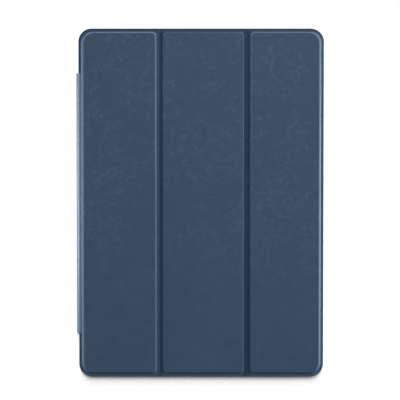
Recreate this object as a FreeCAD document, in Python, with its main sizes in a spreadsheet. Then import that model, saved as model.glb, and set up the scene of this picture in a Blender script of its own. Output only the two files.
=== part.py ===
import FreeCAD
import Part
import Sketcher
import math
import os
from types import SimpleNamespace

# A tri-fold tablet case, closed and lying on its back with the cover up.
# Millimetres. +Z is up, +Y runs along the spine, -X is the spine side.
# The origin is the middle of the footprint, on the surface that the case lies on.

# Driving dimensions: name, size, what it measures
SIZES = [
    ("tablet_width", 174.1, "tablet across the spine"),
    ("tablet_length", 250.6, "tablet along the spine"),
    ("tablet_thickness", 7.5, "tablet from back to glass"),
    ("tablet_corner", 7.5, "corner radius of the tablet"),
    ("tablet_gap", 0.25, "play between tablet and tray on each side"),
    ("shell_wall", 1.5, "side wall of the tray"),
    ("shell_floor", 1.6, "floor of the tray"),
    ("shell_edge_radius", 3.0, "rounding of the tray's back edge"),
    ("bay_edge_radius", 2.0, "rounding inside the tray, round its floor"),
    ("rim_height", 0.9, "rim above the tablet's glass"),
    ("rim_edge_radius", 0.6, "rounding of the rim's outer edge"),
    ("lip_reach", 0.8, "snap lip over the edge of the glass"),
    ("lip_gap", 0.1, "play between the glass and the lip"),
    ("slot_sill", 1.4, "lower edge of the side cut-outs above the tray's floor"),
    ("slot_corner", 1.2, "corner radius of the side cut-outs"),
    ("power_slot_width", 24.0, "cut-out for the power button"),
    ("power_slot_inset", 27.0, "its middle from the tablet's free edge"),
    ("jack_slot_width", 13.0, "cut-out for the headphone plug"),
    ("jack_slot_inset", 21.0, "its middle from the tablet's spine edge"),
    ("volume_slot_width", 34.0, "cut-out for the volume buttons"),
    ("volume_slot_inset", 40.0, "its middle from the tablet's top edge"),
    ("port_slot_width", 17.0, "cut-out for the charging plug"),
    ("speaker_slot_width", 24.0, "cut-out for a speaker"),
    ("speaker_slot_offset", 42.0, "middle of a speaker cut-out from the charging plug"),
    ("camera_radius", 6.0, "camera hole"),
    ("camera_inset", 12.5, "its middle from the tablet's top and free edges"),
    ("camera_bevel", 0.5, "bevel of the camera hole on the back"),
    ("free_overhang", 0.5, "cover past the tray at the free edge"),
    ("spine_overhang", 1.1, "cover past the tray at the spine edge"),
    ("end_overhang", 0.45, "cover past the tray at each end"),
    ("cover_gap", 0.3, "closed cover above the tray's rim"),
    ("margin", 2.1, "flat bonded border round the raised panels"),
    ("groove_width", 3.3, "flat floor of a fold groove"),
    ("groove_corner", 2.4, "corner radius of the raised panels at a groove"),
    ("hinge_panel_width", 55.1, "raised panel next to the spine"),
    ("middle_panel_width", 60.6, "raised panel in the middle"),
    ("panel_edge_radius", 1.1, "rounding of the raised panels' edges"),
    ("skin_thickness", 0.7, "leather-look outer skin"),
    ("board_thickness", 1.2, "stiff board inside a panel"),
    ("lining_thickness", 0.4, "soft inner lining"),
    ("spine_inset", 32.35, "end of the spine strip from the cover's end"),
    ("spine_bulge", 2.2, "spine past the cover's edge"),
    ("stiffener_thickness", 0.4, "stay strip inside the spine"),
    ("lower_roll_radius", 3.2, "roll of the skin from the back to the spine"),
    ("flap_width", 30.0, "skin glued to the back of the tray"),
    ("flap_corner", 6.0, "corner radius of that flap"),
    ("flap_gap", 0.3, "play round the flap in its recess"),
    ("tape_thickness", 0.2, "adhesive film under the flap"),
    ("tape_inset", 3.5, "film from the flap's edges"),
    ("magnet_radius", 4.0, "closing magnet"),
    ("magnet_thickness", 1.0, "closing and wake magnets"),
    ("magnet_inset", 7.0, "middle of the magnets from the raised panel's free edge"),
    ("magnet_pitch", 56.0, "spacing of the closing magnets along the edge"),
    ("magnet_gap", 0.15, "play round a magnet in its board"),
    ("wake_magnet_length", 20.0, "bar that the tablet senses"),
    ("wake_magnet_width", 5.0, "width of that bar"),
    ("stand_plate_length", 130.0, "steel strip that the folded stand clings to"),
    ("stand_plate_width", 10.0, "width of that strip"),
    ("stand_plate_thickness", 0.6, "thickness of that strip"),
    ("stand_plate_inset", 4.0, "that strip from the raised panel's spine edge"),
    ("cut_past", 2.0, "how far a cut runs past what it opens"),
]
# Places of the closing magnets, in pitches from the middle of the edge
MAGNET_STEPS = (-1.5, -0.5, 0.5, 1.5)
# Share of a panel's rise that its rounded edge may take
EDGE_SHARE = 0.92
LEVEL_TOLERANCE = 1e-4


class Size:
    """A length in millimetres, with the sheet expression that gives it."""

    def __init__(self, text, value):
        self.text = text
        self.value = value

    def __add__(self, other):
        other = as_size(other)
        return Size(f"({self.text} + {other.text})", self.value + other.value)

    def __sub__(self, other):
        other = as_size(other)
        return Size(f"({self.text} - {other.text})", self.value - other.value)

    def __mul__(self, factor):
        return Size(f"({self.text} * {factor})", self.value * factor)

    def __truediv__(self, factor):
        return Size(f"({self.text} / {factor})", self.value / factor)

    def __neg__(self):
        return self * -1


def as_size(thing):
    """A plain number as a Size, or a Size as it is."""
    return thing if isinstance(thing, Size) else Size(str(thing), thing)


def smaller(first, second):
    """The smaller of two sizes."""
    return Size(f"min({first.text}; {second.text})", min(first.value, second.value))


doc = FreeCAD.newDocument("tablet_case")
sheet = doc.addObject("Spreadsheet::Sheet", "Sizes")
for row, (alias, number, words) in enumerate(SIZES, start=1):
    sheet.set(f"A{row}", words)
    sheet.set(f"B{row}", str(number))
    sheet.setAlias(f"B{row}", alias)
doc.recompute()
case = SimpleNamespace(**{alias: Size(f"Sizes.{alias}", sheet.get(alias)) for alias, _, _ in SIZES})

# Levels, from the back of the case up
ground = Size("0", 0.0)
recess_top = case.tape_thickness + case.skin_thickness
glass_level = case.shell_floor + case.tablet_thickness
lip_level = glass_level + case.lip_gap
rim_level = glass_level + case.rim_height
lining_level = rim_level + case.cover_gap
skin_level = lining_level + case.lining_thickness
margin_level = skin_level + case.skin_thickness
board_level = skin_level + case.board_thickness
top_level = board_level + case.skin_thickness

# The tray round the tablet
bay_width = case.tablet_width + case.tablet_gap * 2
bay_length = case.tablet_length + case.tablet_gap * 2
bay_corner = case.tablet_corner + case.tablet_gap
shell_width = bay_width + case.shell_wall * 2
shell_length = bay_length + case.shell_wall * 2
shell_corner = bay_corner + case.shell_wall
mouth_shrink = case.lip_reach + case.tablet_gap

# The cover over the tray
cover_width = shell_width + case.spine_overhang + case.free_overhang
cover_length = shell_length + case.end_overhang * 2
cover_corner = shell_corner + case.free_overhang
spine_length = cover_length - case.spine_inset * 2

# Lines across the case, from the spine to the free edge
free_edge = (cover_width + case.spine_bulge) / 2
spine_face = -free_edge
spine_edge = free_edge - cover_width
shell_middle = spine_edge + case.spine_overhang + shell_width / 2
hinge_foot = spine_edge + case.margin
fold_1_start = hinge_foot + case.hinge_panel_width
fold_1_end = fold_1_start + case.groove_width
fold_2_start = fold_1_end + case.middle_panel_width
fold_2_end = fold_2_start + case.groove_width
free_foot = free_edge - case.margin

# Half lengths along the spine
cover_half = cover_length / 2
raised_half = cover_half - case.margin
spine_half = spine_length / 2

# The two rolls of the spine
upper_roll_radius = case.spine_bulge + case.margin
upper_roll_level = margin_level - upper_roll_radius
lower_roll_line = spine_face + case.lower_roll_radius
flap_end = lower_roll_line + case.flap_width

nodes = []


def bind(thing, path, size):
    """Tie a property of a document object to the sheet."""
    thing.setExpression(path, size.text)


def new_body(name):
    """A new body that becomes one node of the part."""
    body = doc.addObject("PartDesign::Body", name)
    body.Label = name
    nodes.append(body)
    return body


def new_sketch(body, name, role, level=None):
    """An empty sketch on one of the body's own planes, lifted to a level."""
    sketch = body.newObject("Sketcher::SketchObject", f"{body.Name}_{name}")
    plane = next(f for f in body.Origin.OriginFeatures if f.Role == role)
    sketch.AttachmentSupport = [(plane, "")]
    sketch.MapMode = "FlatFace"
    if level is not None:
        bind(sketch, "AttachmentOffset.Base.z", level)
    return sketch


def hold(sketch, kind, geometry, point, size):
    """Hold a point of a sketch at a distance from the sketch's origin."""
    index = sketch.addConstraint(Sketcher.Constraint(kind, -1, 1, geometry, point, size.value))
    bind(sketch, f"Constraints[{index}]", size)


def hold_radius(sketch, geometry, size):
    """Give an arc or circle of a sketch its radius."""
    index = sketch.addConstraint(Sketcher.Constraint("Radius", geometry, size.value))
    bind(sketch, f"Constraints[{index}]", size)


def draw_arc(sketch, x, y, radius, quarter):
    """Draw a quarter circle that starts at a whole number of quarter turns."""
    circle = Part.Circle(FreeCAD.Vector(x, y, 0), FreeCAD.Vector(0, 0, 1), radius)
    arc = Part.ArcOfCircle(circle, math.pi / 2 * quarter, math.pi / 2 * (quarter + 1))
    return sketch.addGeometry(arc, False)


def draw_rectangle(sketch, left, right, low, high, corners=(None, None, None, None)):
    """Draw a rectangle; corners gives a radius or None for each, from low left, turning left."""
    across = ((1, 0), (0, 1), (-1, 0), (0, -1))
    places = [(p.value, q.value) for p, q in ((left, low), (right, low), (right, high), (left, high))]
    radii = [0.0 if corner is None else corner.value for corner in corners]
    sides = []
    for i, (dx, dy) in enumerate(across):
        after = (i + 1) % 4
        start = FreeCAD.Vector(places[i][0] + dx * radii[i], places[i][1] + dy * radii[i], 0)
        end = FreeCAD.Vector(
            places[after][0] - dx * radii[after], places[after][1] - dy * radii[after], 0
        )
        sides.append(sketch.addGeometry(Part.LineSegment(start, end), False))
        sketch.addConstraint(Sketcher.Constraint("Vertical" if i % 2 else "Horizontal", sides[i]))
    for i, corner in enumerate(corners):
        before = sides[i - 1]
        if corner is None:
            sketch.addConstraint(Sketcher.Constraint("Coincident", before, 2, sides[i], 1))
            continue
        centre_x = places[i][0] + (across[i][0] - across[i - 1][0]) * radii[i]
        centre_y = places[i][1] + (across[i][1] - across[i - 1][1]) * radii[i]
        arc = draw_arc(sketch, centre_x, centre_y, radii[i], i + 2)
        sketch.addConstraint(Sketcher.Constraint("Tangent", before, 2, arc, 1))
        sketch.addConstraint(Sketcher.Constraint("Tangent", arc, 2, sides[i], 1))
        hold_radius(sketch, arc, corner)
    hold(sketch, "DistanceY", sides[0], 1, low)
    hold(sketch, "DistanceX", sides[1], 1, right)
    hold(sketch, "DistanceY", sides[2], 1, high)
    hold(sketch, "DistanceX", sides[3], 1, left)


def draw_quarter_ring(sketch, x, y, inner, outer, quarter):
    """Draw a quarter of a ring, which starts at a whole number of quarter turns."""
    arcs = [draw_arc(sketch, x.value, y.value, radius.value, quarter) for radius in (inner, outer)]
    sketch.addConstraint(Sketcher.Constraint("Coincident", arcs[0], 3, arcs[1], 3))
    hold(sketch, "DistanceX", arcs[1], 3, x)
    hold(sketch, "DistanceY", arcs[1], 3, y)
    for arc, radius in zip(arcs, (inner, outer)):
        hold_radius(sketch, arc, radius)
        for point, turn in ((1, quarter), (2, quarter + 1)):
            kind = "Vertical" if turn % 2 else "Horizontal"
            sketch.addConstraint(Sketcher.Constraint(kind, arc, point, arc, 3))
    for point in (1, 2):
        ends = [sketch.getPoint(arc, point) for arc in arcs]
        line = sketch.addGeometry(Part.LineSegment(*ends), False)
        sketch.addConstraint(Sketcher.Constraint("Coincident", line, 1, arcs[0], point))
        sketch.addConstraint(Sketcher.Constraint("Coincident", line, 2, arcs[1], point))


def draw_circle(sketch, x, y, radius):
    """Draw a circle round a point."""
    centre = FreeCAD.Vector(x.value, y.value, 0)
    circle = Part.Circle(centre, FreeCAD.Vector(0, 0, 1), radius.value)
    index = sketch.addGeometry(circle, False)
    hold(sketch, "DistanceX", index, 3, x)
    hold(sketch, "DistanceY", index, 3, y)
    hold_radius(sketch, index, radius)


def pad(body, sketch, length, both_ways=False):
    """Raise a sketch by a length, or by half of it to each side."""
    feature = body.newObject("PartDesign::Pad", f"{sketch.Name}_pad")
    feature.Profile = sketch
    feature.SideType = "Symmetric" if both_ways else "One side"
    bind(feature, "Length", length)
    doc.recompute()
    return feature


def pocket(body, sketch, length=None, along_normal=False):
    """Cut a sketch into a body by a length, or all the way, and see that it took something off."""
    before = body.Shape.Volume
    feature = body.newObject("PartDesign::Pocket", f"{sketch.Name}_pocket")
    feature.Profile = sketch
    feature.Reversed = along_normal
    if length is None:
        feature.Type = "ThroughAll"
    else:
        bind(feature, "Length", length)
    doc.recompute()
    if body.Shape.Volume > before - LEVEL_TOLERANCE:
        raise RuntimeError(f"{feature.Name} cuts nothing")
    return feature


def level_edges(feature, level):
    """The names of a feature's edges that lie flat at a level."""
    found = []
    for index, edge in enumerate(feature.Shape.Edges, start=1):
        box = edge.BoundBox
        if max(abs(box.ZMin - level.value), abs(box.ZMax - level.value)) < LEVEL_TOLERANCE:
            found.append(f"Edge{index}")
    return found


def round_edges(body, base, edges, radius):
    """Round some edges of a feature."""
    feature = body.newObject("PartDesign::Fillet", f"{base.Name}_round")
    feature.Base = (base, edges)
    bind(feature, "Radius", radius)
    doc.recompute()
    return feature


def block(name, left, right, near, far, low, high):
    """A plain rectangular strip as a node of its own."""
    box = doc.addObject("Part::Box", name)
    box.Label = name
    for path, size in (("Length", right - left), ("Width", far - near), ("Height", high - low)):
        bind(box, path, size)
    for path, size in (("x", left), ("y", near), ("z", low)):
        bind(box, f"Placement.Base.{path}", size)
    nodes.append(box)


def make_shell():
    """The moulded tray with its snap lip, side cut-outs, camera hole and flap recess."""
    body = new_body("back_shell")
    half_width = shell_width / 2
    half_length = shell_length / 2
    outline = new_sketch(body, "outline", "XY_Plane")
    draw_rectangle(
        outline,
        shell_middle - half_width,
        shell_middle + half_width,
        -half_length,
        half_length,
        [shell_corner] * 4,
    )
    feature = pad(body, outline, rim_level)
    feature = round_edges(body, feature, level_edges(feature, ground), case.shell_edge_radius)
    feature = round_edges(body, feature, level_edges(feature, rim_level), case.rim_edge_radius)

    # The mouth is narrower than the bay under it, which leaves the snap lip.
    mouth = new_sketch(body, "mouth", "XY_Plane", rim_level)
    draw_rectangle(
        mouth,
        shell_middle - bay_width / 2 + mouth_shrink,
        shell_middle + bay_width / 2 - mouth_shrink,
        -bay_length / 2 + mouth_shrink,
        bay_length / 2 - mouth_shrink,
        [bay_corner - mouth_shrink] * 4,
    )
    pocket(body, mouth, rim_level - case.shell_floor)
    bay = new_sketch(body, "bay", "XY_Plane", case.shell_floor)
    draw_rectangle(
        bay,
        shell_middle - bay_width / 2,
        shell_middle + bay_width / 2,
        -bay_length / 2,
        bay_length / 2,
        [bay_corner] * 4,
    )
    feature = pocket(body, bay, lip_level - case.shell_floor, along_normal=True)
    round_edges(body, feature, level_edges(feature, case.shell_floor), case.bay_edge_radius)

    # Cut-outs that stay open at the rim
    tablet_left = shell_middle - case.tablet_width / 2
    tablet_right = shell_middle + case.tablet_width / 2
    tablet_top = case.tablet_length / 2
    top_slots = (
        (tablet_right - case.power_slot_inset, case.power_slot_width),
        (tablet_left + case.jack_slot_inset, case.jack_slot_width),
    )
    bottom_slots = (
        (shell_middle, case.port_slot_width),
        (shell_middle - case.speaker_slot_offset, case.speaker_slot_width),
        (shell_middle + case.speaker_slot_offset, case.speaker_slot_width),
    )
    side_slots = ((tablet_top - case.volume_slot_inset, case.volume_slot_width),)
    for name, role, slots, along_normal in (
        ("top_slots", "XZ_Plane", top_slots, False),
        ("bottom_slots", "XZ_Plane", bottom_slots, True),
        ("side_slots", "YZ_Plane", side_slots, True),
    ):
        sketch = new_sketch(body, name, role)
        for middle, width in slots:
            draw_rectangle(
                sketch,
                middle - width / 2,
                middle + width / 2,
                case.shell_floor + case.slot_sill,
                rim_level + case.cut_past,
                (case.slot_corner, case.slot_corner, None, None),
            )
        pocket(body, sketch, along_normal=along_normal)

    # The recess on the back that takes the glued flap
    recess = new_sketch(body, "recess", "XY_Plane")
    draw_rectangle(
        recess,
        spine_face,
        flap_end + case.flap_gap,
        -spine_half - case.flap_gap,
        spine_half + case.flap_gap,
        (None, case.flap_corner + case.flap_gap, case.flap_corner + case.flap_gap, None),
    )
    pocket(body, recess, recess_top, along_normal=True)

    camera = new_sketch(body, "camera", "XY_Plane")
    draw_circle(
        camera, tablet_right - case.camera_inset, tablet_top - case.camera_inset, case.camera_radius
    )
    feature = pocket(body, camera, case.shell_floor + case.cut_past, along_normal=True)
    rims = []
    for name in level_edges(feature, ground):
        curve = feature.Shape.getElement(name).Curve
        if not isinstance(curve, Part.Circle):
            continue
        if abs(curve.Radius - case.camera_radius.value) < LEVEL_TOLERANCE:
            rims.append(name)
    bevel = body.newObject("PartDesign::Chamfer", "camera_bevel")
    bevel.Base = (feature, rims)
    bind(bevel, "Size", case.camera_bevel)
    doc.recompute()


def make_flap():
    """The skin glued under the tray, and the adhesive film that holds it."""
    flap = new_body("flap_skin")
    outline = new_sketch(flap, "outline", "XY_Plane")
    corners = (None, case.flap_corner, case.flap_corner, None)
    draw_rectangle(outline, lower_roll_line, flap_end, -spine_half, spine_half, corners)
    pad(flap, outline, case.skin_thickness)

    tape = new_body("flap_tape")
    outline = new_sketch(tape, "outline", "XY_Plane", case.skin_thickness)
    inset = case.tape_inset
    draw_rectangle(
        outline,
        lower_roll_line + inset,
        flap_end - inset,
        inset - spine_half,
        spine_half - inset,
        (None, case.flap_corner - inset / 2, case.flap_corner - inset / 2, None),
    )
    pad(tape, outline, case.tape_thickness)


def make_roll(name, x, level, outer, thickness, quarter):
    """One layer of a soft roll, as long as the spine."""
    body = new_body(name)
    profile = new_sketch(body, "profile", "XZ_Plane")
    draw_quarter_ring(profile, x, level, outer - thickness, outer, quarter)
    pad(body, profile, spine_length, both_ways=True)


def make_spine():
    """The spine: skin, stay strip and lining between the two soft rolls."""
    low = case.lower_roll_radius
    high = upper_roll_level
    skin_back = spine_face + case.skin_thickness
    stay_back = skin_back + case.stiffener_thickness
    lining_back = stay_back + case.lining_thickness
    block("spine_skin", spine_face, skin_back, -spine_half, spine_half, low, high)
    block("spine_stiffener", skin_back, stay_back, -spine_half, spine_half, low, high)
    block("spine_lining", stay_back, lining_back, -spine_half, spine_half, low, high)
    for name, x, level, outer, quarter in (
        ("lower_hinge", lower_roll_line, low, case.lower_roll_radius, 2),
        ("upper_hinge", hinge_foot, high, upper_roll_radius, 1),
    ):
        make_roll(f"{name}_skin", x, level, outer, case.skin_thickness, quarter)
        inside = outer - case.skin_thickness
        make_roll(f"{name}_lining", x, level, inside, case.lining_thickness, quarter)


def open_for_spine(body):
    """Cut the border of the hinge panel away where the spine's roll joins it."""
    sketch = new_sketch(body, "spine_gap", "XY_Plane", margin_level)
    draw_rectangle(sketch, spine_face, hinge_foot, -spine_half, spine_half)
    pocket(body, sketch, margin_level - lining_level)


def make_panel(name, border, raised, border_corners, raised_corners, meets_spine=False):
    """A panel of the cover: skin over a board, with a lining under both.

    border and raised give the left and right lines of the flat border and of the raised area.
    """
    skin = new_body(f"{name}_skin")
    flat = new_sketch(skin, "flat", "XY_Plane", skin_level)
    draw_rectangle(flat, *border, -cover_half, cover_half, border_corners)
    pad(skin, flat, case.skin_thickness)
    if meets_spine:
        open_for_spine(skin)
    crown = new_sketch(skin, "crown", "XY_Plane", skin_level)
    draw_rectangle(crown, *raised, -raised_half, raised_half, raised_corners)
    feature = pad(skin, crown, top_level - skin_level)
    edge_radius = smaller(case.panel_edge_radius, case.board_thickness * EDGE_SHARE)
    feature = round_edges(skin, feature, level_edges(feature, top_level), edge_radius)
    inside = case.skin_thickness
    board_outline = (
        raised[0] + inside,
        raised[1] - inside,
        inside - raised_half,
        raised_half - inside,
        [corner - inside for corner in raised_corners],
    )
    hollow = new_sketch(skin, "hollow", "XY_Plane", skin_level)
    draw_rectangle(hollow, *board_outline)
    pocket(skin, hollow, case.board_thickness, along_normal=True)

    board = new_body(f"{name}_board")
    outline = new_sketch(board, "outline", "XY_Plane", skin_level)
    draw_rectangle(outline, *board_outline)
    pad(board, outline, case.board_thickness)

    lining = new_body(f"{name}_lining")
    outline = new_sketch(lining, "outline", "XY_Plane", lining_level)
    draw_rectangle(outline, *border, -cover_half, cover_half, border_corners)
    pad(lining, outline, case.lining_thickness)
    if meets_spine:
        open_for_spine(lining)
    return board


def make_fold(name, start, end):
    """The soft floor of a fold groove: skin over lining."""
    block(f"{name}_skin", start, end, -cover_half, cover_half, skin_level, margin_level)
    block(f"{name}_lining", start, end, -cover_half, cover_half, lining_level, skin_level)


def make_stand_plate(board):
    """The steel strip in the hinge panel, in a pocket on the board's inner face."""
    left = hinge_foot + case.stand_plate_inset
    right = left + case.stand_plate_width
    half = case.stand_plate_length / 2
    play = case.magnet_gap
    sketch = new_sketch(board, "plate", "XY_Plane", skin_level)
    draw_rectangle(sketch, left - play, right + play, -half - play, half + play)
    pocket(board, sketch, case.stand_plate_thickness, along_normal=True)
    top = skin_level + case.stand_plate_thickness
    block("stand_plate", left, right, -half, half, skin_level, top)


def make_magnets(board):
    """The magnets along the free edge, in windows of the free panel's board."""
    line = free_foot - case.magnet_inset
    play = case.magnet_gap
    half_length = case.wake_magnet_length / 2
    half_width = case.wake_magnet_width / 2
    windows = new_sketch(board, "magnets", "XY_Plane", skin_level)
    discs = []
    for number, step in enumerate(MAGNET_STEPS, start=1):
        place = case.magnet_pitch * step
        draw_circle(windows, line, place, case.magnet_radius + play)
        disc = doc.addObject("Part::Cylinder", f"closing_magnet_{number}")
        bind(disc, "Radius", case.magnet_radius)
        bind(disc, "Height", case.magnet_thickness)
        for path, size in (("x", line), ("y", place), ("z", skin_level)):
            bind(disc, f"Placement.Base.{path}", size)
        discs.append(disc)
    draw_rectangle(
        windows,
        line - half_width - play,
        line + half_width + play,
        -half_length - play,
        half_length + play,
    )
    pocket(board, windows, along_normal=True)
    group = doc.addObject("Part::Compound", "closing_magnets")
    group.Label = "closing_magnets"
    group.Links = discs
    nodes.append(group)
    top = skin_level + case.magnet_thickness
    block(
        "wake_magnet",
        line - half_width,
        line + half_width,
        -half_length,
        half_length,
        skin_level,
        top,
    )


def make_cover():
    """The three panels, the two folds between them, and what the panels hold."""
    outer = cover_corner
    inner = cover_corner - case.margin
    fold = case.groove_corner
    hinge_board = make_panel(
        "hinge_panel",
        (spine_edge, fold_1_start),
        (hinge_foot, fold_1_start),
        (outer, None, None, outer),
        (inner, fold, fold, inner),
        meets_spine=True,
    )
    make_fold("fold_1", fold_1_start, fold_1_end)
    middle = (fold_1_end, fold_2_start)
    make_panel("middle_panel", middle, middle, (None, None, None, None), (fold, fold, fold, fold))
    make_fold("fold_2", fold_2_start, fold_2_end)
    free_board = make_panel(
        "free_panel",
        (fold_2_end, free_edge),
        (fold_2_end, free_foot),
        (None, outer, outer, None),
        (fold, inner, inner, fold),
    )
    make_stand_plate(hinge_board)
    make_magnets(free_board)


def check_document():
    """Stop before anything is written if an object failed or a shape is not a sound solid."""
    for thing in doc.Objects:
        if any(state in ("Invalid", "Error") for state in thing.State):
            raise RuntimeError(f"{thing.Label} failed: {thing.State}")
    for node in nodes:
        shape = node.Shape
        if shape.isNull() or not shape.isValid() or not shape.Solids:
            raise RuntimeError(f"{node.Label} has no sound solid")


def write_nodes():
    """Write each node to a file of its own name."""
    os.makedirs("parts", exist_ok=True)
    for node in nodes:
        node.Shape.exportStep(f"parts/{node.Label}.step")
        print(f"{node.Label}: {len(node.Shape.Solids)} solids, {node.Shape.Volume:.1f} mm3")


make_shell()
make_flap()
make_spine()
make_cover()
doc.recompute()
check_document()
write_nodes()
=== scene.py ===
"""Looks of a closed tri-fold tablet case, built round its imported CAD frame.

Lengths in the classes are millimetres, and turn into metres where a mesh is made. The frame is
the CAD part's: +Z is up out of the closed cover, +Y runs along the spine, -X is the spine side.
"""

import logging
import math
from dataclasses import dataclass
from enum import Enum
from typing import Callable, Mapping

import bmesh
import bpy
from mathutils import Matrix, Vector


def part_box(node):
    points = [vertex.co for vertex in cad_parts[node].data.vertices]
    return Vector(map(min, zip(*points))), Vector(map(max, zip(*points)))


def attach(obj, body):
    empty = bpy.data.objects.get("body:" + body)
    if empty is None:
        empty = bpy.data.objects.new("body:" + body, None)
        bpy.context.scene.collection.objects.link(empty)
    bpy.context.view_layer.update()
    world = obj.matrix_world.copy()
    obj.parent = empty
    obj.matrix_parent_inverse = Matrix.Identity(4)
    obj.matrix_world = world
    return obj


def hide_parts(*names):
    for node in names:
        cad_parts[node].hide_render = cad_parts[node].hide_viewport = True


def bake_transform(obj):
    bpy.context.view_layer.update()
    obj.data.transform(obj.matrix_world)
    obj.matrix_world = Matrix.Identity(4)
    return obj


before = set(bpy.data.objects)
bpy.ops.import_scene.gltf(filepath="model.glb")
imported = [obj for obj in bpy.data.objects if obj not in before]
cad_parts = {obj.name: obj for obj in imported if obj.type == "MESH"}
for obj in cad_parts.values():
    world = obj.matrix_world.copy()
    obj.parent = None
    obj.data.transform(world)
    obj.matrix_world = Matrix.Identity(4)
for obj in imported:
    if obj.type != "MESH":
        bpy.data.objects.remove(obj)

LOG = logging.getLogger("tablet_case")
MM = 0.001
TOUCH = 0.02
WELD = TOUCH / 10
PLATE_CORE = 0.25
SMOOTH_ANGLE = 40.0
ROUND, SQUARE = 0.5, 1.0
UP = Vector((0.0, 0.0, 1.0))
DOWN = Vector((0.0, 0.0, -1.0))
SPINEWARDS = Vector((-1.0, 0.0, 0.0))
QUARTER_TURN = math.pi / 2
# Point values that the leather reads. The first darkens the colour: painted shade in grooves, on
# hems and on rises that turn from the light, partly pressed lines. The second lightens it: painted
# highlights on crests and edges, partly wear.
PRESSED_AND_SHADE, WORN_AND_HIGHLIGHT = "pressed", "worn_highlight"

WHOLE = (0.0, 1.0)
WHITE = (1.0, 1.0, 1.0, 1.0)
NOISE_MIDDLE = 0.5
MIX_FIRST, MIX_SECOND, MIX_RESULT = 6, 7, 2

Triple = tuple[float, float, float]
Colour = Triple
Span = tuple[float, float]
Test = Callable[[Vector, Vector], bool]
MeshItem = bmesh.types.BMVert | bmesh.types.BMEdge | bmesh.types.BMFace
Socket = bpy.types.NodeSocket
Sockets = Mapping[str, Socket]
Inputs = Mapping[str | int, object]


class Pick(Enum):
    """What a selection is made of."""

    POINTS = "VERT"
    EDGES = "EDGE"
    FACES = "FACE"


class Side(Enum):
    """The side of a panel that is the cover's own outer edge."""

    SPINE = -1
    NONE = 0
    FREE = 1


class Lit(Enum):
    """What a lamp lights."""

    CASE = "EXCLUDE"
    FLOOR = "INCLUDE"


class Detail(Enum):
    """How many finer layers a noise has."""

    COARSE = 2.0
    MEDIUM = 3.0
    FINE = 4.0


def box_mm(node: str) -> tuple[Vector, Vector]:
    """The lowest and highest corner of a CAD node, in millimetres."""
    low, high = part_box(node)
    return low / MM, high / MM


def near(first: float, second: float) -> bool:
    """Whether two places are the same, within the touching distance."""
    return abs(first - second) < TOUCH


def share_of(distance: float, reach: float) -> float:
    """How far a distance goes through a reach, held between 0 and 1."""
    return min(max(distance / reach, 0.0), 1.0)


def anywhere(place: Vector, normal: Vector) -> bool:
    """A test that every place passes."""
    return True


def rgba(colour: Colour | Socket) -> object:
    """A colour with its opacity, or a colour socket as it is."""
    return colour if isinstance(colour, Socket) else (*colour, 1.0)


def whereabouts(item: MeshItem) -> tuple[Vector, Vector]:
    """Where a point, edge or face is, and the mean normal there.

    Args:
        item: A part of a mesh in edit mode.

    Returns:
        Its middle in millimetres, and its normal.
    """
    if isinstance(item, bmesh.types.BMVert):
        return item.co / MM, item.normal.copy()
    if isinstance(item, bmesh.types.BMFace):
        return item.calc_center_median() / MM, item.normal.copy()
    middle = (item.verts[0].co + item.verts[1].co) / 2 / MM
    normal = sum((face.normal for face in item.link_faces), Vector())
    return middle, normal.normalized()


@dataclass(frozen=True)
class Rectangle:
    """A level rectangle whose middle is on the case's own middle line."""

    left: float
    right: float
    half: float
    level: float

    @property
    def middle(self) -> float:
        """The middle of its width."""
        return (self.left + self.right) / 2

    @property
    def width(self) -> float:
        """Its width."""
        return self.right - self.left

    def across(self, place: Vector) -> float:
        """How far a place is from the nearer long side."""
        return min(abs(place.x - self.left), abs(self.right - place.x))

    def along(self, place: Vector) -> float:
        """How far a place is from the nearer end."""
        return abs(self.half - abs(place.y))


@dataclass(frozen=True)
class Sides:
    """A value for each side of a panel."""

    left: float = 0.0
    right: float = 0.0
    top: float = 0.0
    bottom: float = 0.0

    def end(self, place: Vector) -> float:
        """The value of the end that a place is nearer to."""
        return self.top if place.y > 0.0 else self.bottom

    def at(self, place: Vector, area: Rectangle) -> float:
        """The value of the nearest side of a rectangle, blended round its corners.

        Args:
            place: Where the value is wanted.
            area: The rectangle.

        Returns:
            The value there.
        """
        side = self.left if place.x < area.middle else self.right
        across, along = area.across(place), area.along(place)
        return (side * along + self.end(place) * across) / max(across + along, TOUCH)


@dataclass(frozen=True)
class Layer:
    """One of the cover's two sheets, and the names that go with it."""

    node: str
    look: str
    slot: str
    material: bpy.types.Material
    depth: float
    thickness: float


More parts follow.
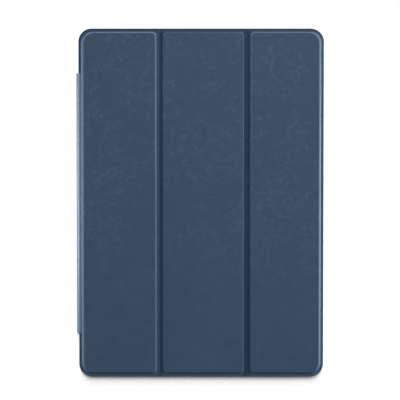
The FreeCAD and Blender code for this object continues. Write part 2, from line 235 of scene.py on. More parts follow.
class Workpiece:
    """A piece of a sheet on the bench, shaped with hand tools in edit mode.

    Its methods take places and lengths in millimetres.
    """

    def __init__(self, part: str, layer: Layer) -> None:
        """Start a piece that has no mesh yet.

        Args:
            part: The part of the case that it covers.
            layer: The sheet that it is cut from.
        """
        self.name = f"{part}_{layer.look}"
        self.node = f"{part}_{layer.node}"
        self.layer = layer
        self.obj: bpy.types.Object | None = None
        self.middle = Vector()
        self.reach = 0.0

    def lay_plate(self, left: float, right: float, low: float, high: float, level: float) -> None:
        """Lay a flat plate that faces up, and leave it selected.

        Args:
            left: Its lower limit along X.
            right: Its upper limit along X.
            low: Its lower limit along Y.
            high: Its upper limit along Y.
            level: Its height.
        """
        if self.obj is None:
            bpy.ops.object.select_all(action="DESELECT")
        else:
            bpy.ops.mesh.select_all(action="DESELECT")
        bpy.ops.mesh.primitive_plane_add(size=1.0, location=(0.0, 0.0, 0.0))
        if self.obj is None:
            self.obj = bpy.context.object
            self.obj.name = self.name
            self.obj.data.name = self.name
            bpy.ops.object.mode_set(mode="EDIT")
            bpy.ops.mesh.select_all(action="SELECT")
        size = ((right - left) * MM, (high - low) * MM, 1.0)
        bpy.ops.transform.resize(value=size, center_override=(0.0, 0.0, 0.0))
        self.middle = Vector(((left + right) / 2, (low + high) / 2, level))
        self.reach = min(right - left, high - low) * PLATE_CORE
        self.move(*self.middle)

    def pick(self, kind: Pick, test: Test) -> None:
        """Select what passes a test, and nothing else.

        Args:
            kind: Whether points, edges or faces are looked at.
            test: Takes a place in millimetres and the mean normal there.

        Raises:
            RuntimeError: If nothing passes.
        """
        bpy.ops.mesh.select_mode(type=kind.value)
        bpy.ops.mesh.select_all(action="DESELECT")
        mesh = bmesh.from_edit_mesh(self.obj.data)
        mesh.normal_update()
        items = {Pick.POINTS: mesh.verts, Pick.EDGES: mesh.edges, Pick.FACES: mesh.faces}[kind]
        found = [item for item in items if test(*whereabouts(item))]
        if not found:
            raise RuntimeError(f"{self.name}: nothing to pick")
        for item in found:
            item.select_set(True)
        mesh.select_flush_mode()
        bmesh.update_edit_mesh(self.obj.data)

    def pick_open(self) -> None:
        """Select every loose outline and open rim."""
        bpy.ops.mesh.select_mode(type=Pick.EDGES.value)
        bpy.ops.mesh.select_all(action="DESELECT")
        mesh = bmesh.from_edit_mesh(self.obj.data)
        for edge in mesh.edges:
            if edge.is_wire or edge.is_boundary:
                edge.select_set(True)
        bmesh.update_edit_mesh(self.obj.data)

    def move(self, x: float, y: float, z: float) -> None:
        """Move what is selected."""
        bpy.ops.transform.translate(value=(x * MM, y * MM, z * MM))

    def extrude(self, x: float, y: float, z: float) -> None:
        """Draw the selected edge out into a strip, and leave its end selected."""
        shift = {"value": (x * MM, y * MM, z * MM)}
        bpy.ops.mesh.extrude_region_move(TRANSFORM_OT_translate=shift)

    def roll(self, axis: Vector, turn: float, steps: int) -> None:
        """Roll the selected edge round a line along the case, downwards for a turn over 0."""
        way = (0.0, math.copysign(1.0, turn), 0.0)
        bpy.ops.mesh.spin(steps=steps, angle=abs(turn), center=axis * MM, axis=way)

    def round_corner(
        self, x: float, y: float, radius: float, steps: int, profile: float = ROUND
    ) -> None:
        """Round a corner of an outline.

        Args:
            x: Place of the corner across the case.
            y: Place of the corner along it.
            radius: Radius of the rounding.
            steps: How many flats stand for it.
            profile: ROUND, or SQUARE for a corner that stays sharp and only gets as many points.
        """
        self.pick(Pick.POINTS, lambda p, n: near(p.x, x) and near(p.y, y))
        bpy.ops.mesh.bevel(
            offset_type="OFFSET",
            offset=radius * MM,
            segments=steps,
            profile=profile,
            affect="VERTICES",
            clamp_overlap=False,
        )

    def open_outline(self) -> None:
        """Take away the plate that was laid last and keep its outline."""
        middle, reach = self.middle, self.reach
        self.pick(Pick.FACES, lambda p, n: near(p.z, middle.z) and (p - middle).length < reach)
        bpy.ops.mesh.delete(type="ONLY_FACE")

    def draw_in(self, before: Rectangle, after: Rectangle) -> None:
        """Extrude the selected rim from one rectangle's size and place to another's.

        Args:
            before: Where the rim is.
            after: Where its copy goes.
        """
        self.extrude(after.middle - before.middle, 0.0, after.level - before.level)
        size = (after.width / before.width, after.half / before.half, 1.0)
        bpy.ops.transform.resize(value=size, center_override=(after.middle * MM, 0.0, 0.0))

    def cut_across(self, x: float) -> None:
        """Cut the selected faces along a line that runs along the case."""
        bpy.ops.mesh.bisect(plane_co=(x * MM, 0.0, 0.0), plane_no=(1.0, 0.0, 0.0))

    def cut_along(self, y: float) -> None:
        """Cut the selected faces along a line that runs across the case."""
        bpy.ops.mesh.bisect(plane_co=(0.0, y * MM, 0.0), plane_no=(0.0, 1.0, 0.0))

    def soften(self, width: float, steps: int, test: Test) -> None:
        """Round the sharp edges that pass a test.

        Args:
            width: How wide the rounding is.
            steps: How many flats stand for it.
            test: Takes the middle of an edge and the mean normal there.
        """
        self.pick(Pick.EDGES, test)
        bpy.ops.mesh.bevel(
            offset_type="OFFSET", offset=width * MM, segments=steps, profile=ROUND, affect="EDGES"
        )

    def face_towards(self, way: Vector) -> None:
        """Make the faces of a sheet agree, and face a given way on the whole.

        Args:
            way: Where they face.
        """
        bpy.ops.mesh.select_all(action="SELECT")
        bpy.ops.mesh.remove_doubles(threshold=WELD * MM)
        bpy.ops.mesh.normals_make_consistent(inside=False)
        self.pick(Pick.FACES, anywhere)
        mesh = bmesh.from_edit_mesh(self.obj.data)
        facing = sum((face.normal for face in mesh.faces), Vector())
        if facing.dot(way) < 0.0:
            bpy.ops.mesh.flip_normals()

    def thicken(self, thickness: float) -> None:
        """Give the sheet its thickness, away from the side that it faces.

        Args:
            thickness: How thick it gets.
        """
        bpy.ops.object.mode_set(mode="OBJECT")
        modifier = self.obj.modifiers.new("thickness", "SOLIDIFY")
        modifier.thickness = thickness * MM
        modifier.offset = -1.0
        modifier.use_even_offset = True
        bpy.ops.object.modifier_apply(modifier=modifier.name)
        bpy.ops.object.mode_set(mode="EDIT")

    def mark(self, name: str, share: Callable[[Vector], float]) -> None:
        """Write a value from 0 to 1 on every point, which the finish reads.

        Args:
            name: The value's name.
            share: Gives the value at a place in millimetres.
        """
        bpy.ops.object.mode_set(mode="OBJECT")
        values = self.obj.data.attributes.new(name, "FLOAT", "POINT")
        for point, value in zip(self.obj.data.vertices, values.data):
            value.value = share(point.co / MM)

    def done(self) -> bpy.types.Object:
        """Take the piece off the bench, with its finish on it.

        Returns:
            The finished object, with its place in its mesh.
        """
        bpy.ops.object.mode_set(mode="OBJECT")
        bpy.ops.object.shade_smooth_by_angle(angle=math.radians(SMOOTH_ANGLE))
        self.obj.data.materials.clear()
        self.obj.data.materials.append(self.layer.material)
        LOG.info("%s: %d faces", self.name, len(self.obj.data.polygons))
        return self.obj

    def ride(self, body: str) -> bpy.types.Object:
        """Finish the piece and put it on a body, in place of its CAD node.

        Args:
            body: The body's name.

        Returns:
            The finished object.
        """
        piece = self.done()
        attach(piece, body)
        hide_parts(self.node)
        return piece

    def bend(self, first: str, second: str, start: Vector, end: Vector) -> None:
        """Finish the piece in place of its CAD node, with its place baked into its mesh; it is put
        on no body.

        Args:
            first: The body at its start. Not used.
            second: The body at its end. Not used.
            start: Where it leaves the first body. Not used.
            end: Where it reaches the second. Not used.
        """
        piece = self.done()
        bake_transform(piece)
        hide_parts(self.node)


class NodeBench:
    """A node tree that is being wired."""

    def __init__(self, tree: bpy.types.NodeTree) -> None:
        """Work on a tree."""
        self.tree = tree

    def feed(self, node: bpy.types.Node, inputs: Inputs) -> None:
        """Feed a node's sockets.

        Args:
            node: The node.
            inputs: For each socket a value, or another node's output to link to it.
        """
        for name, value in inputs.items():
            if isinstance(value, Socket):
                self.tree.links.new(value, node.inputs[name])
            else:
                node.inputs[name].default_value = value

    def add(self, kind: str, inputs: Inputs | None = None, **settings: object) -> bpy.types.Node:
        """Place a node.

        Args:
            kind: The node's type.
            inputs: What its sockets are fed with.
            settings: Properties of the node.

        Returns:
            The new node.
        """
        node = self.tree.nodes.new(kind)
        for name, value in settings.items():
            setattr(node, name, value)
        self.feed(node, inputs or {})
        return node

    def math(self, operation: str, first: object, second: object = 0.0) -> Socket:
        """The result of a sum on two values or sockets."""
        return self.add("ShaderNodeMath", {0: first, 1: second}, operation=operation).outputs[0]

    def times(self, first: object, second: object) -> Socket:
        """The product of two values or sockets."""
        return self.math("MULTIPLY", first, second)

    def most(self, first: object, second: object) -> Socket:
        """The larger of two values or sockets."""
        return self.math("MAXIMUM", first, second)

    def vector(self, operation: str, first: object, second: object = (0.0, 0.0, 0.0)) -> Sockets:
        """The results of a sum on two vectors or sockets."""
        inputs = {0: first, 1: second}
        return self.add("ShaderNodeVectorMath", inputs, operation=operation).outputs

    def part(self, vector: Socket, axis: str) -> Socket:
        """One of the three parts of a vector."""
        return self.add("ShaderNodeSeparateXYZ", {"Vector": vector}).outputs[axis]

    def attribute(self, name: str) -> Socket:
        """A value that is written on the points of a mesh."""
        return self.add("ShaderNodeAttribute", attribute_name=name).outputs["Fac"]

    def noise(self, place: Socket, size: object, detail: Detail, bend: float = 0.0) -> Sockets:
        """The value and the colour of a cloudy pattern."""
        inputs = {"Vector": place, "Scale": size, "Detail": detail.value, "Distortion": bend}
        return self.add("ShaderNodeTexNoise", inputs).outputs

    def spread(self, value: Socket, span: tuple[object, object], to: Span = WHOLE) -> Socket:
        """Move a value smoothly from one span to another, and hold it inside.

        Args:
            value: The value.
            span: Where it comes from, as values or sockets.
            to: Where it goes.

        Returns:
            The moved value.
        """
        ends = zip(("From Min", "From Max", "To Min", "To Max"), (*span, *to))
        inputs = {"Value": value, **dict(ends)}
        return self.add("ShaderNodeMapRange", inputs, interpolation_type="SMOOTHSTEP").outputs[0]

    def blend(self, share: Socket, first: Colour | Socket, second: Colour | Socket) -> Socket:
        """A mix of two colours or colour sockets."""
        inputs = {"Factor": share, MIX_FIRST: rgba(first), MIX_SECOND: rgba(second)}
        return self.add("ShaderNodeMix", inputs, data_type="RGBA").outputs[MIX_RESULT]

    def bump(self, height: Socket, strength: float, depth: float) -> Socket:
        """A normal that follows a height, with its depth in millimetres."""
        inputs = {"Height": height, "Strength": strength, "Distance": depth * MM}
        return self.add("ShaderNodeBump", inputs).outputs[0]


@dataclass(frozen=True)
class Effect:
    """A pattern that the finishes share, built once as a node group."""

    name: str

    @property
    def ways_in(self) -> dict[str, str]:
        """Names and socket types of the group's inputs."""
        return {"Place": "NodeSocketVector", "Size": "NodeSocketFloat"}

    def wire(self, bench: NodeBench, given: Sockets) -> dict[str, Socket]:
        """Wire the pattern from the group's inputs, and hand over what the group puts out."""
        raise NotImplementedError

    def group(self) -> bpy.types.NodeTree:
        """Find the pattern's node group, or build it the first time.

        Returns:
            The group.
        """
        tree = bpy.data.node_groups.get(self.name)
        if tree is not None:
            return tree
        tree = bpy.data.node_groups.new(self.name, "ShaderNodeTree")
        for name, kind in self.ways_in.items():
            tree.interface.new_socket(name, in_out="INPUT", socket_type=kind)
        bench = NodeBench(tree)
        made = self.wire(bench, bench.add("NodeGroupInput").outputs)
        for name in made:
            tree.interface.new_socket(name, in_out="OUTPUT", socket_type="NodeSocketFloat")
        bench.add("NodeGroupOutput", made)
        return tree

    def place(self, bench: NodeBench, **inputs: object) -> Sockets:
        """Place the pattern in a material, and hand over what it puts out."""
        return bench.add("ShaderNodeGroup", inputs, node_tree=self.group()).outputs


@dataclass(frozen=True)
class Clouds(Effect):
    """Soft patches of two sizes with thin paler veins in them."""

    wide_share: float = 0.35
    small_share: float = 0.65
    small_scale: float = 5.0
    vein_scale: float = 4.5
    vein_bend: float = 0.8
    vein_width: float = 0.09
    gap_scale: float = 9.0
    gap_span: Span = (0.38, 0.68)
    patch_span: Span = (0.40, 0.54)
    patch_least: float = 0.25

    def wire(self, bench: NodeBench, given: Sockets) -> dict[str, Socket]:
        """Wire the patches, and the veins that are broken up and kept to some of them.

        Args:
            bench: The group's tree.
            given: The group's inputs.

        Returns:
            The tone of the patches and the mask of the veins.
        """
        place, size = given["Place"], given["Size"]
        wide = bench.noise(place, size, Detail.MEDIUM)["Fac"]
        small_size = bench.times(size, self.small_scale)
        small = bench.noise(place, small_size, Detail.FINE)["Fac"]
        parts = bench.times(wide, self.wide_share), bench.times(small, self.small_share)
        vein_size = bench.times(size, self.vein_scale)
        bent = bench.noise(place, vein_size, Detail.MEDIUM, self.vein_bend)["Fac"]
        off_middle = bench.math("ABSOLUTE", bench.math("SUBTRACT", bent, NOISE_MIDDLE))
        veins = bench.spread(off_middle, (0.0, self.vein_width), (1.0, 0.0))
        gaps = bench.noise(place, bench.times(size, self.gap_scale), Detail.COARSE)["Fac"]
        short = bench.times(veins, bench.spread(gaps, self.gap_span))
        kept = bench.spread(wide, self.patch_span, (self.patch_least, 1.0))
        return {"Tone": bench.math("ADD", *parts), "Veins": bench.times(short, kept)}


@dataclass(frozen=True)
class Grain(Effect):
    """Small rounded pebbles with pores, as pressed into coated leather."""

    sway: float = 0.5
    pebble_rise: float = 0.22
    pore_scale: float = 3.1
    pore_share: float = 0.35

    def wire(self, bench: NodeBench, given: Sockets) -> dict[str, Socket]:
        """Wire the pebbles, moved out of their rows, and the pores.

        Args:
            bench: The group's tree.
            given: The group's inputs.

        Returns:
            The height of the grain.
        """
        place, size = given["Place"], given["Size"]
        sway = bench.noise(place, size, Detail.COARSE)["Color"]
        push = {0: sway, "Scale": bench.math("DIVIDE", self.sway, size)}
        pushed = bench.add("ShaderNodeVectorMath", push, operation="SCALE").outputs["Vector"]
        cell = {"Vector": bench.vector("ADD", place, pushed)["Vector"], "Scale": size}
        cells = bench.add("ShaderNodeTexVoronoi", cell, feature="DISTANCE_TO_EDGE")
        pebbles = bench.spread(cells.outputs["Distance"], (0.0, self.pebble_rise))
        pores = bench.noise(place, bench.times(size, self.pore_scale), Detail.COARSE)["Fac"]
        return {"Height": bench.math("ADD", pebbles, bench.times(pores, self.pore_share))}


@dataclass(frozen=True)
class BurnishAndHighlight(Effect):
    """A mask of the surfaces that turn away from the flat of the cover, used for gloss and a
    painted highlight.
    """

    @property
    def ways_in(self) -> dict[str, str]:
        """Names and socket types of the group's inputs."""
        limits = {"Start": "NodeSocketFloat", "Full": "NodeSocketFloat"}
        return {"Facing": "NodeSocketVector", **limits}

    def wire(self, bench: NodeBench, given: Sockets) -> dict[str, Socket]:
        """Wire the mask.

        Args:
            bench: The group's tree.
            given: The group's inputs.

        Returns:
            The mask.
        """
        level = bench.math("ABSOLUTE", bench.part(given["Facing"], "Z"))
        turned = bench.math("SUBTRACT", 1.0, level)
        return {"Mask": bench.spread(turned, (given["Start"], given["Full"]))}


@dataclass(frozen=True)
class Fibre(Effect):
    """Short brushed fibres over a soft nap."""

    drawn: Triple = (1.0, 0.22, 1.0)
    bend: float = 0.6
    nap_width: float = 55.0

    def wire(self, bench: NodeBench, given: Sockets) -> dict[str, Socket]:
        """Wire the fibres and the nap.

        Args:
            bench: The group's tree.
            given: The group's inputs.

        Returns:
            The height of the fibres and the tone of the nap.
        """
        place, size = given["Place"], given["Size"]
        drawn = bench.add("ShaderNodeMapping", {"Vector": place, "Scale": self.drawn}).outputs[0]
        fibres = bench.noise(drawn, size, Detail.MEDIUM, self.bend)["Fac"]
        nap_size = bench.math("DIVIDE", size, self.nap_width)
        return {"Height": fibres, "Nap": bench.noise(place, nap_size, Detail.FINE)["Fac"]}


@dataclass(frozen=True)
class Scuffs(Effect):
    """Fine hairline marks that run mostly one way."""

    drawn: Triple = (1.0, 0.06, 1.0)
    turned: Triple = (0.0, 0.0, 0.5)
    mark_span: Span = (0.56, 0.72)

    def wire(self, bench: NodeBench, given: Sockets) -> dict[str, Socket]:
        """Wire the marks.

        Args:
            bench: The group's tree.
            given: The group's inputs.

        Returns:
            The mask of the marks.
        """
        way = {"Vector": given["Place"], "Scale": self.drawn, "Rotation": self.turned}
        drawn = bench.add("ShaderNodeMapping", way).outputs[0]
        lines = bench.noise(drawn, given["Size"], Detail.FINE)["Fac"]
        return {"Marks": bench.spread(lines, self.mark_span)}


CLOUDS = Clouds("cloudy_tone")
GRAIN = Grain("leather_grain")
BURNISH_AND_HIGHLIGHT = BurnishAndHighlight("edge_burnish_and_highlight")
FIBRE = Fibre("fibre_pile")
SCUFFS = Scuffs("fine_scuffs")


@dataclass(frozen=True)
class Finish:
    """What every finish has: a name, a main colour and a roughness."""

    name: str
    colour: Colour
    roughness: float

    def looks(self, bench: NodeBench, coords: Sockets) -> Inputs:
        """What the finish feeds its shader with, past a plain colour and roughness."""
        raise NotImplementedError

    def material(self) -> bpy.types.Material:
        """Make the finish's material.

        Returns:
            The finished material.
        """
        material = bpy.data.materials.new(self.name)
        material.use_nodes = True
        bench = NodeBench(material.node_tree)
        shader = material.node_tree.nodes["Principled BSDF"]
        bench.feed(shader, {"Base Color": rgba(self.colour), "Roughness": self.roughness})
        bench.feed(shader, self.looks(bench, bench.add("ShaderNodeTexCoord").outputs))
        return material


@dataclass(frozen=True)
class LeatherFinish(Finish):
    """Coated leather-look: pebble grain, cloudy tone, and painted shade and highlights on its lines
    and edges.
    """

    pale: Colour
    burnished_highlight: Colour
    pressed: Colour
    fleck_and_sheen: Colour
    cloud_size: float
    grain_size: float
    grain_depth: float
    burnished_roughness: float
    specular: float
    tone_span: Span = (0.36, 0.64)
    # Flecks, partly a painted sheen, fade towards the bottom end as painted light from the top.
    fleck_top_light_span: Span = (-100.0, 20.0)
    fleck_least: float = 0.12
    pore_share: float = 0.35
    pore_tone: float = 0.72
    grain_strength: float = 0.5
    # The edge mask polishes the roughness, and also lightens the colour as a painted highlight.
    edge_start: float = 0.04
    edge_full: float = 0.45
    edge_highlight_share: float = 0.1
    dull_span: Span = (0.3, 0.7)
    dull_change: Span = (-0.03, 0.04)

    def colours(self, bench: NodeBench, place: Socket, clouds: Sockets, grain: Socket) -> Socket:
        """Lay the colours of the flat surface and of the darker pressed lines, mostly painted
        shade, over each other.

        Args:
            bench: The material's tree.
            place: Where the surface is.
            clouds: The cloudy pattern.
            grain: The height of the grain.

        Returns:
            The colour.
        """
        tone = bench.blend(bench.spread(clouds["Tone"], self.tone_span), self.colour, self.pale)
        # Flecks fade out towards the bottom end: painted light that falls more on the top.
        low, high = self.fleck_top_light_span
        upper = bench.spread(bench.part(place, "Y"), (low * MM, high * MM), (self.fleck_least, 1.0))
        flecked = bench.blend(bench.times(clouds["Veins"], upper), tone, self.fleck_and_sheen)
        pores = bench.spread(grain, WHOLE, (self.pore_share, 0.0))
        dark = tuple(self.pore_tone * part for part in self.colour)
        surface = bench.blend(pores, flecked, dark)
        # Painted shade, partly pressed lines, darkens grooves, hems and the rises that turn from
        # the light.
        return bench.blend(bench.attribute(PRESSED_AND_SHADE), surface, self.pressed)

    def looks(self, bench: NodeBench, coords: Sockets) -> Inputs:
        """Colour, gloss and grain of the leather.

        Args:
            bench: The material's tree.
            coords: The coordinates of the surface.

        Returns:
            What the shader's sockets are fed with.
        """
        place = coords["Object"]
        clouds = CLOUDS.place(bench, Place=place, Size=self.cloud_size)
        grain = GRAIN.place(bench, Place=place, Size=self.grain_size)["Height"]
        limits = {"Start": self.edge_start, "Full": self.edge_full}
        # The turned edges' mask: it polishes the roughness and paints a highlight.
        edges = BURNISH_AND_HIGHLIGHT.place(bench, Facing=coords["Normal"], **limits)["Mask"]
        flat = self.colours(bench, place, clouds, grain)
        # Painted highlight: turned edges and crests are lightened towards the paler edge colour,
        # partly wear.
        rubbed_highlight = bench.most(bench.times(edges, self.edge_highlight_share), bench.attribute(WORN_AND_HIGHLIGHT))
        least, most = (self.roughness + change for change in self.dull_change)
        dull = bench.spread(clouds["Tone"], self.dull_span, (least, most))
        polish = bench.times(edges, self.roughness - self.burnished_roughness)
        return {
            "Base Color": bench.blend(rubbed_highlight, flat, self.burnished_highlight),
            "Roughness": bench.math("SUBTRACT", dull, polish),
            "Specular IOR Level": self.specular,
            "Normal": bench.bump(grain, self.grain_strength, self.grain_depth),
        }


@dataclass(frozen=True)
class LiningFinish(Finish):
    """Brushed microfibre: short fibres, a soft nap and a faint sheen."""

    pale: Colour
    fibre_size: float
    fibre_depth: float
    sheen: float
    sheen_roughness: float = 0.4
    fibre_strength: float = 0.6
    streak_span: Span = (0.3, 0.7)
    streak_share: float = 0.7
    nap_span: Span = (0.42, 0.62)
    nap_share: float = 0.4

    def looks(self, bench: NodeBench, coords: Sockets) -> Inputs:
        """Streaks, patches and pile of the cloth.

        Args:
            bench: The material's tree.
            coords: The coordinates of the surface.

        Returns:
            What the shader's sockets are fed with.
        """
        fibre = FIBRE.place(bench, Place=coords["Object"], Size=self.fibre_size)
        share = bench.spread(fibre["Height"], self.streak_span, (0.0, self.streak_share))
        streak = bench.blend(share, self.colour, self.pale)
        patch = bench.spread(fibre["Nap"], self.nap_span, (0.0, self.nap_share))
        return {
            "Base Color": bench.blend(patch, streak, self.pale),
            "Normal": bench.bump(fibre["Height"], self.fibre_strength, self.fibre_depth),
            "Sheen Weight": self.sheen,
            "Sheen Roughness": self.sheen_roughness,
        }


@dataclass(frozen=True)
class ClearFinish(Finish):
    """Clear moulded plastic with hairline scuffs."""

    refraction: float
    scuff_size: float
    scuffed: float

    def looks(self, bench: NodeBench, coords: Sockets) -> Inputs:
        """Clearness and scuffs of the plastic.

        Args:
            bench: The material's tree.
            coords: The coordinates of the surface.

        Returns:
            What the shader's sockets are fed with.
        """
        marks = SCUFFS.place(bench, Place=coords["Object"], Size=self.scuff_size)["Marks"]
        return {
            "Roughness": bench.spread(marks, WHOLE, (self.roughness, self.scuffed)),
            "Transmission Weight": 1.0,
            "IOR": self.refraction,
        }


@dataclass(frozen=True)
class BoardFinish(Finish):
    """Pressed grey board with paler and darker fibres."""

    pale: Colour
    fibre_size: float
    fibre_depth: float = 0.05
    fibre_strength: float = 0.3
    tone_span: Span = (0.35, 0.65)

    def looks(self, bench: NodeBench, coords: Sockets) -> Inputs:
        """Fibres of the board.

        Args:
            bench: The material's tree.
            coords: The coordinates of the surface.

        Returns:
            What the shader's sockets are fed with.
        """
        fibre = FIBRE.place(bench, Place=coords["Object"], Size=self.fibre_size)["Height"]
        share = bench.spread(fibre, self.tone_span)
        return {
            "Base Color": bench.blend(share, self.colour, self.pale),
            "Normal": bench.bump(fibre, self.fibre_strength, self.fibre_depth),
        }


@dataclass(frozen=True)
class FilmFinish(Finish):
    """Milky adhesive film with cloudy patches where it has wetted less."""

    pale: Colour
    patch_size: float
    tone_span: Span = (0.42, 0.58)
    dull_span: Span = (0.4, 0.6)
    dull_change: float = 0.1

    def looks(self, bench: NodeBench, coords: Sockets) -> Inputs:
        """Patches of the film.

        Args:
            bench: The material's tree.
            coords: The coordinates of the surface.

        Returns:
            What the shader's sockets are fed with.
        """
        tone = CLOUDS.place(bench, Place=coords["Object"], Size=self.patch_size)["Tone"]
        ends = (self.roughness - self.dull_change, self.roughness + self.dull_change)
        return {
            "Base Color": bench.blend(bench.spread(tone, self.tone_span), self.colour, self.pale),
            "Roughness": bench.spread(tone, self.dull_span, ends),
        }


@dataclass(frozen=True)
class MetalFinish(Finish):
    """Bare or plated metal with fine drawn lines."""

    dark: Colour
    line_size: float
    dull_change: float = 0.2

    def looks(self, bench: NodeBench, coords: Sockets) -> Inputs:
        """Drawn lines of the metal.

        Args:
            bench: The material's tree.
            coords: The coordinates of the surface.

        Returns:
            What the shader's sockets are fed with.
        """
        marks = SCUFFS.place(bench, Place=coords["Object"], Size=self.line_size)["Marks"]
        ends = (self.roughness, self.roughness + self.dull_change)
        return {
            "Base Color": bench.blend(marks, self.colour, self.dark),
            "Roughness": bench.spread(marks, WHOLE, ends),
            "Metallic": 1.0,
        }


@dataclass(frozen=True)
class Palette:
    """The materials of the case."""

    leather: bpy.types.Material
    lining: bpy.types.Material
    clear: bpy.types.Material
    board: bpy.types.Material
    film: bpy.types.Material
    steel: bpy.types.Material
    nickel: bpy.types.Material


def mix_palette() -> Palette:
    """Make every material of the case once.

    Returns:
        The materials.
    """
    return Palette(
        leather=LeatherFinish(
            name="navy_leather",
            colour=(0.0340, 0.0665, 0.1285),
            roughness=0.66,
            pale=(0.0355, 0.0785, 0.1365),
            # The paler edge colour is a painted highlight, the darker one painted shade with
            # pressed lines, and the flecks partly a painted sheen.
            burnished_highlight=(0.125, 0.190, 0.285),
            pressed=(0.008, 0.030, 0.068),
            fleck_and_sheen=(0.055, 0.101, 0.168),
            cloud_size=30.0,
            grain_size=1500.0,
            grain_depth=0.03,
            burnished_roughness=0.30,
            specular=0.34,
        ).material(),
        lining=LiningFinish(
            name="slate_microfibre",
            colour=(0.060, 0.076, 0.100),
            roughness=0.92,
            pale=(0.105, 0.125, 0.155),
            fibre_size=2600.0,
            fibre_depth=0.05,
            sheen=0.35,
        ).material(),
        clear=ClearFinish(
            name="clear_polycarbonate",
            colour=(0.93, 0.95, 0.965),
            roughness=0.03,
            refraction=1.585,
            scuff_size=420.0,
            scuffed=0.14,
        ).material(),
        board=BoardFinish(
            name="grey_board",
            colour=(0.34, 0.32, 0.29),
            roughness=0.9,
            pale=(0.48, 0.46, 0.42),
            fibre_size=1400.0,
        ).material(),
        film=FilmFinish(
            name="milky_film",
            colour=(0.66, 0.66, 0.63),
            roughness=0.4,
            pale=(0.82, 0.82, 0.80),
            patch_size=90.0,
        ).material(),
        steel=MetalFinish(
            name="strip_steel",
            colour=(0.56, 0.57, 0.58),
            roughness=0.32,
            dark=(0.42, 0.43, 0.44),
            line_size=900.0,
        ).material(),
        nickel=MetalFinish(
            name="nickel_plate",
            colour=(0.66, 0.64, 0.60),
            roughness=0.2,
            dark=(0.52, 0.50, 0.46),
            line_size=700.0,
        ).material(),
    )


@dataclass(frozen=True)
class Crown:
    """How far the rounding of a raised area goes inwards from its sides."""

    left: float
    right: float
    ends: float


